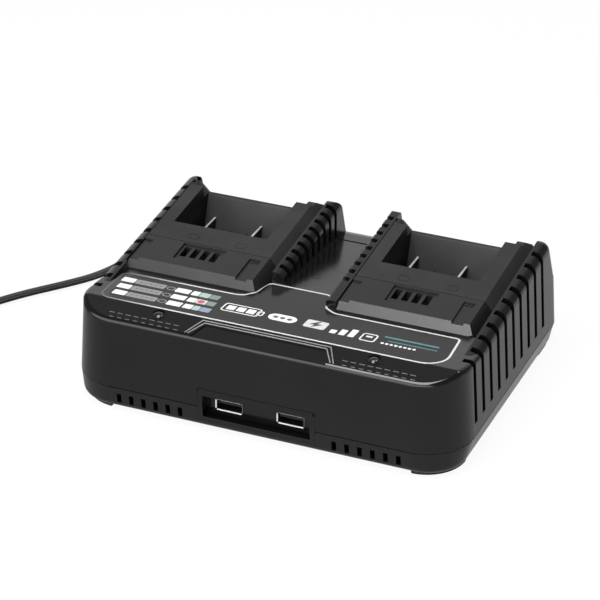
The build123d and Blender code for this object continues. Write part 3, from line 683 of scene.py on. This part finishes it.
def make_status_table():
    """Three rows of cells that tell the indicators' states."""
    print_cells(FIRST_CELLS)
    ticks = [in_row(row, start, start + TICK_L, TICK_HALF_H, TICK_R)
             for row in ROWS for start in TICK_STARTS]
    pads("table_ticks", ticks, "dim_ink", top_z, TICK_HEIGHTS)
    keys = [in_row(row, *KEY_ENDS, KEY_HALF_H, KEY_R) for row in ROWS]
    rings("table_keys", keys, KEY_W, "grey_ink", top_z)
    print_cells(LAST_CELLS)
    pads("table_red", [disc(RED_LAMP_X, ROW_Y[1], RED_LAMP_R)], "red_ink", top_z, OVERPRINT)


# Signs, as (x0, x1, y0, y1, radius) of their bars.
SIGN_LINE_W = 0.7
BATTERY_CASE = [(-27.6, -11.2, -45.3, -38.3, 1.0), (-11.0, -9.4, -43.4, -40.2, 0.3)]
BATTERY_CELLS = [(x, x + 3.9, -44.0, -39.6, 0.3) for x in (-26.2, -21.4, -16.6)]
LAMPS_PILL = (-6.3, 7.1, -45.2, -38.4, 3.3)
LAMPS_X, LAMPS_Y, LAMPS_R = (-2.9, 0.4, 3.7), -41.8, 1.15
FLASH_PLATE = (11.0, 21.2, -45.2, -37.4, 1.2)
FLASH = [(16.7, -37.9), (13.0, -42.0), (15.6, -42.0), (14.6, -44.9), (19.0, -40.6),
         (16.4, -40.6), (17.6, -37.9)]
LEVEL_BARS = [(24.0 + 4.3 * i, 26.9 + 4.3 * i, -46.2, -42.6 + 2.1 * i, 0.4) for i in range(3)]
SOCKET_OUTLINE = (38.8, 44.6, -46.4, -40.0, 0.8)
SOCKET_TONGUE = (40.2, 43.2, -43.0, -41.6, 0.2)
TEAL_LINES = [(47.7, 72.8, -39.8, -38.5, 0.3), (50.6, 73.2, -43.1, -42.4, 0.3)]
DOTS = [(48.3 + 2.1 * i, 49.7 + 2.1 * i, -46.6, -45.1, 0.35) for i in range(8)]


def print_bars(name, ends, finish):
    pads(name, [bar(*each) for each in ends], finish, top_z)


def make_signs():
    """A battery, a row of lamps, a flash, level bars and a socket, all plain signs, and lines."""
    rings("sign_battery_case", [bar(*each) for each in BATTERY_CASE], SIGN_LINE_W, "white_ink",
          top_z)
    print_bars("sign_battery_cells", BATTERY_CELLS, "white_ink")
    print_bars("sign_lamps_pill", [LAMPS_PILL], "white_ink")
    pads("sign_lamps", [disc(x, LAMPS_Y, LAMPS_R) for x in LAMPS_X], "dim_ink", top_z, OVERPRINT)
    print_bars("sign_flash_plate", [FLASH_PLATE], "silver_ink")
    pads("sign_flash", [FLASH], "black_ink", top_z, OVERPRINT)
    print_bars("sign_levels", LEVEL_BARS, "white_ink")
    rings("sign_socket", [bar(*SOCKET_OUTLINE)], SIGN_LINE_W, "white_ink", top_z)
    print_bars("sign_socket_tongue", [SOCKET_TONGUE], "white_ink")
    print_bars("line_teal", TEAL_LINES, "teal_ink")
    print_bars("line_dots", DOTS, "white_ink")


rings("label_border", [rounded(BORDER)], BORDER_W, "border_ink", top_z)
make_status_table()
make_signs()


# ---------------------------------------------------------------- joints and sockets of the front
PARTING_Z = 13.0
HALF_SIZE = (93.5, 71.4)         # half width and half depth at the parting line
CORNER_R = (22.0, 12.0)          # front and rear
FRONT_LEAN = 0.0612              # the front leans back this much for each millimetre of height
SEAM_SECTION = ((0.015, 12.5), (0.015, 12.98), (0.9, 12.98), (0.9, 12.5))   # (inset, Z)

PANEL_HALF = 28.0
PANEL_TOP_Z = 21.65
PANEL_END = 1.6                  # the panel's joint turns down this far at its ends
PANEL_CHAMFER = 0.5
JOINT_SUNK, JOINT_R = 0.12, 0.22
MARK_X, MARK_Z, MARK_R = 27.2, 20.6, 0.55
MARK_PROUD, MARK_DEEP = 0.05, 0.5

RECESS_FLOOR = (-25.4, 25.4, -70.5, -66.3, 0.4)
RECESS_FLOOR_Z = 7.6
SOCKET_X = (-14.7, 14.7)
SOCKET_Y = -66.6
SOCKET_Z = 12.95
SOCKET_HALF = (6.3, 2.68)
LIP_R = 0.34
LIP_LEFT, LIP_RIGHT, LIP_END = 0.5, 0.3, 0.6     # the lips stop this short of the corners
SPRING_X = (-3.5, -1.0, 1.0, 3.5)
SPRING_HALF_W, SPRING_THICK = 0.45, 0.2
SPRING_FRONT, SPRING_REAR = (-64.9, 12.7), (-63.0, 12.35)    # (Y, Z)


def front_y(z):
    return FRONT_LEAN * (z - PARTING_Z) - HALF_SIZE[1]


def housing_line(inset):
    """The outline at the parting line, from the sockets' panel round to its other side."""
    x, y = (value - inset for value in HALF_SIZE)
    front, rear = (radius - inset for radius in CORNER_R)
    corners = [(-x, -y, front), (-x, y, rear), (x, y, rear), (x, -y, front)]
    outline = rounded(corners, steps=12)
    return [(-PANEL_HALF, -y)] + outline + [(PANEL_HALF, -y)]


def make_seam():
    """The tray's tongue, a fine dark line in the joint of the two halves."""
    build = bmesh.new()
    loops = [[build.verts.new(mm(x, y, z)) for x, y in housing_line(inset)]
             for inset, z in SEAM_SECTION]
    for first, second in zip(loops, loops[1:] + loops[:1]):
        for index in range(1, len(first)):
            build.faces.new((first[index - 1], first[index], second[index], second[index - 1]))
    build.faces.new([loop[0] for loop in loops])
    build.faces.new([loop[-1] for loop in loops][::-1])
    add_piece("seam_tongue", build, "seam")


def make_panel_details():
    """The dark joint along the panel's top, its moulding mark, and a dark pad on the recess's
    floor that paints the shade there.
    """
    top, side = PANEL_TOP_Z, PANEL_HALF
    half = [(side - PANEL_CHAMFER, top), (side, top - PANEL_CHAMFER), (side, top - PANEL_END)]
    joint = [(-x, z) for x, z in half[::-1]] + half
    beads("panel_joint", [[(x, front_y(z) + JOINT_SUNK, z) for x, z in joint]], JOINT_R, "seam")
    mark_y = front_y(MARK_Z)
    mark = [(MARK_X, mark_y - MARK_PROUD, MARK_Z), (MARK_X, mark_y + MARK_DEEP, MARK_Z)]
    beads("panel_mark", [mark], MARK_R, "seam")
    # A near-black pad on the recess's floor: painted shade.
    pads("recess_floor_shade", [bar(*RECESS_FLOOR)], "seam", lambda y: RECESS_FLOOR_Z,
         (0.08, MOULDED_FOOT), draft=0.05)


def make_socket_lips():
    """Rolled lips along the top, the bottom and the left of each socket's steel shell, in pale ink
    that paints their highlights.
    """
    half_w, half_h = SOCKET_HALF
    low, high = SOCKET_Z - half_h, SOCKET_Z + half_h
    routes = []
    for x in SOCKET_X:
        left, right = x - half_w, x + half_w
        routes += [[(left + LIP_LEFT, SOCKET_Y, z), (right - LIP_RIGHT, SOCKET_Y, z)]
                   for z in (low, high)]
        routes.append([(left, SOCKET_Y, low + LIP_END), (left, SOCKET_Y, high - LIP_END)])
    beads("usb_lip_highlights", routes, LIP_R, "lip")


def make_socket_contacts():
    """Four gold springs under each socket's tongue."""
    build = bmesh.new()
    for x in SOCKET_X:
        for place in SPRING_X:
            left, right = x + place - SPRING_HALF_W, x + place + SPRING_HALF_W
            low = [build.verts.new(mm(*corner)) for corner in (
                (left, *SPRING_FRONT), (right, *SPRING_FRONT),
                (right, *SPRING_REAR), (left, *SPRING_REAR))]
            high = [build.verts.new(vert.co + mm(0, 0, SPRING_THICK)) for vert in low]
            wall_between(build, low, high)
            build.faces.new(low[::-1])
            build.faces.new(high)
    add_piece("usb_contacts", build, "gold")


# ---------------------------------------------------------------- moulded details of the strip
STEP_TOP_Y = -60.4
STEP_FRONT_Y = -67.6
STEP_HALF = (28.4, 33.2)         # half width at its top and at its front
RIM_GAPS = (0.5, 1.9)
RIM_R = 0.3
DASH_STARTS = (-73.0, 38.0)
DASH_ROWS = ((-64.6, 2.6), (-67.2, 2.0))         # (Y, length)
DASH_SHIFT = 1.0                 # each row starts this much further right
DASH_COUNT, DASH_PITCH = 9, 3.9
DASH_R, DASH_SUNK = 0.24, 0.05
LENS_RING_R, LENS_RING_W = 3.2, 0.45


def make_step_highlight_lines():
    """Two pale lines round the shallow step in the strip: painted highlights of its edges."""
    routes = []
    for gap in RIM_GAPS:
        top, foot = STEP_HALF[0] + gap, STEP_HALF[1] + gap
        path = [(-foot, STEP_FRONT_Y), (-top, STEP_TOP_Y + gap), (top, STEP_TOP_Y + gap),
                (foot, STEP_FRONT_Y)]
        routes.append([(x, y, strip_z(y)) for x, y in path])
    beads("step_highlight_lines", routes, RIM_R, "highlight_ink")


def make_strip_dashes():
    """Rows of small moulded dashes on both sides of the step, in a dim ink lighter than the strip
    that paints the light on their edges.
    """
    routes = []
    for start in DASH_STARTS:
        for row, (y, length) in enumerate(DASH_ROWS):
            z = strip_z(y) - DASH_SUNK
            for index in range(DASH_COUNT):
                x = start + DASH_SHIFT * row + DASH_PITCH * index
                routes.append([(x, y, z), (x + length, y, z)])
    beads("strip_dashes", routes, DASH_R, "dim_ink")


def make_lens_rims():
    """A raised ring round each indicator window."""
    x, y = LENS_PLACE
    outlines = [disc(side * x, y, LENS_RING_R, count=32) for side in (-1, 1)]
    rings("lens_rims", outlines, LENS_RING_W, "gloss", strip_z, (0.15, MOULDED_FOOT))


make_seam()
make_panel_details()
make_step_highlight_lines()
make_strip_dashes()
make_socket_lips()
make_socket_contacts()
make_lens_rims()


# ---------------------------------------------------------------- moulded details of the docks
# The docks' marks are (x0, x1, y0, y1, radius), with X from a dock's middle.
CONTACT_MARKS = [(x - 2.2, x + 2.2, 4.6, 8.2, 0.9) for x in (-13.2, 10.6)]
CONTACT_MARK_W = 0.5
RAMP_MARKS = [(20.0, 21.2, -3.9, -3.1, 0.3), (22.2, 23.4, -3.9, -3.1, 0.3)]
RAMP_SUNK = 0.8
DECK_LEDGE = (-12.0, 12.0, 52.9, 57.2, 0.6)
GATE_MARK = (-3.9, 7.7, 1.7)     # (x, y, radius)
GATE_MARK_W = 0.5


def on_docks(ends):
    """Bars given from a dock's middle, on both docks."""
    return [bar(centre + x0, centre + x1, y0, y1, radius)
            for centre in DOCK_X for x0, x1, y0, y1, radius in ends]


def make_dock_marks():
    """Small raised marks on each dock that show where the contacts are, and on its ramp."""
    rings("dock_marks", on_docks(CONTACT_MARKS), CONTACT_MARK_W, "insert", dock_z,
          (0.16, MOULDED_FOOT))
    pads("ramp_marks", on_docks(RAMP_MARKS), "apron", lambda y: dock_z(y) - RAMP_SUNK,
         (0.3, MOULDED_FOOT), draft=0.15)


def make_deck_marks():
    """The deck's low ledge behind the valley and a gate mark in front of it."""
    pads("deck_ledge", [bar(*DECK_LEDGE)], "housing", top_z, (0.3, MOULDED_FOOT), draft=0.25)
    rings("deck_gate_mark", [disc(*GATE_MARK, count=24)], GATE_MARK_W, "housing", top_z,
          (0.12, MOULDED_FOOT))


make_dock_marks()
make_deck_marks()


# ---------------------------------------------------------------- surroundings
# The wall and the bank fade in between two cosines of the angle from their headings. Their
# levels change between two sines of the elevation.
WALL_HEADING, WALL_EDGE = (-0.36, 0.93, 0.0), (0.72, 0.93)
WALL_LEVELS, WALL_HEIGHTS = (0.72, 0.2), (0.3, 0.86)
BANK_HEADING, BANK_EDGE = (-0.34, -0.94, 0.0), (0.5, 0.75)
BANK_LEVELS, BANK_HEIGHTS = (3.0, 0), (0.5, 0.95)
CEILING_LEVEL = 0.18
FLOOR_HEADING = (0.34, 0.94, 0)
FLOOR_GLOW, FLOOR_GLOW_M = (0.42, 0.68), (-0.15, 0.2)        # in reflections, front to rear
FLOOR_COLOR, FLOOR_ROUGHNESS = (0.8, 0.8, 0.8), 0.9
FLOOR_WHITE = 0.93               # of what the camera sees; the rest shows the shadow
FLOOR_SIZE_M = 4
LAMPS = (                        # name, place, target, size, watts
    ("overhead", (-60, -300, 900), (-60, -300, 0), (490, 640), 9),
    ("corner", (335, 290, 900), (85, -60, 45), (260, 260), 1.8),
)


def make_world():
    """A soft studio: a bright wall behind, a bank of light in front and a dim ceiling."""
    world = bpy.data.worlds.new("studio")
    scene.world = world
    world.use_nodes = True
    graph = Graph(world.node_tree)
    direction = graph.node("ShaderNodeTexCoord").outputs["Generated"]
    up = graph.along(direction, (0, 0, 1))
    level = graph.vector_calc("MULTIPLY", {0: direction, 1: (1, 1, 0)})
    heading = graph.vector_calc("NORMALIZE", {0: level})
    behind = graph.spread(graph.along(heading, WALL_HEADING), 0, 1, *WALL_EDGE, "SMOOTHSTEP")
    wall = graph.calc("MULTIPLY", behind,
                      graph.spread(up, *WALL_LEVELS, *WALL_HEIGHTS, "SMOOTHSTEP"))
    ahead = graph.spread(graph.along(direction, BANK_HEADING), 0, 1, *BANK_EDGE, "SMOOTHSTEP")
    bank = graph.calc("MULTIPLY", ahead,
                      graph.spread(up, *BANK_LEVELS, *BANK_HEIGHTS, "SMOOTHSTEP"))
    total = graph.calc("ADD", graph.calc("ADD", wall, bank), CEILING_LEVEL)
    ground = world.node_tree.nodes["Background"]
    ground.inputs["Color"].default_value = (1, 1, 1, 1)
    graph.link(total, ground.inputs["Strength"])
    white = graph.node("ShaderNodeBackground", {"Strength": 1.0})
    camera = graph.node("ShaderNodeLightPath").outputs["Is Camera Ray"]
    mix = graph.node("ShaderNodeMixShader", {0: camera, 1: ground.outputs[0], 2: white.outputs[0]})
    graph.link(mix.outputs[0], world.node_tree.nodes["World Output"].inputs["Surface"])


def make_floor():
    """A pale floor, white to the camera and in reflections, that keeps the object's shadow."""
    mesh = bpy.data.meshes.new("floor")
    build = bmesh.new()
    bmesh.ops.create_grid(build, x_segments=1, y_segments=1, size=FLOOR_SIZE_M)
    build.to_mesh(mesh)
    build.free()
    floor = bpy.data.objects.new("floor", mesh)
    scene.collection.objects.link(floor)
    shader = Shader("floor", FLOOR_COLOR, FLOOR_ROUGHNESS)
    path = shader.node("ShaderNodeLightPath")
    seen, glossy = path.outputs["Is Camera Ray"], path.outputs["Is Glossy Ray"]
    away = shader.spread(shader.along(shader.coords, FLOOR_HEADING), *FLOOR_GLOW, *FLOOR_GLOW_M)
    strength = shader.calc("ADD", shader.calc("MULTIPLY", glossy, away), seen)
    glow = shader.node("ShaderNodeEmission", {"Color": (1, 1, 1, 1), "Strength": strength})
    share = shader.calc("ADD", shader.calc("MULTIPLY", seen, FLOOR_WHITE), glossy)
    mix = shader.node("ShaderNodeMixShader", {
        0: share, 1: shader.bsdf.outputs[0], 2: glow.outputs[0],
    })
    shader.link(mix.outputs[0], shader.tree.nodes["Material Output"].inputs["Surface"])
    mesh.materials.append(shader.material)


def area_light(name, place, target, size, power):
    data = bpy.data.lights.new(name, "AREA")
    data.shape = "RECTANGLE"
    data.size, data.size_y = (value * MM for value in size)
    data.energy = power
    lamp = bpy.data.objects.new(name, data)
    scene.collection.objects.link(lamp)
    aim = (mm(*target) - mm(*place)).to_track_quat("-Z", "Y")
    lamp.matrix_world = Matrix.Translation(mm(*place)) @ aim.to_matrix().to_4x4()


make_world()
make_floor()
for lamp_settings in LAMPS:
    area_light(*lamp_settings)

scene.view_settings.view_transform = "Standard"
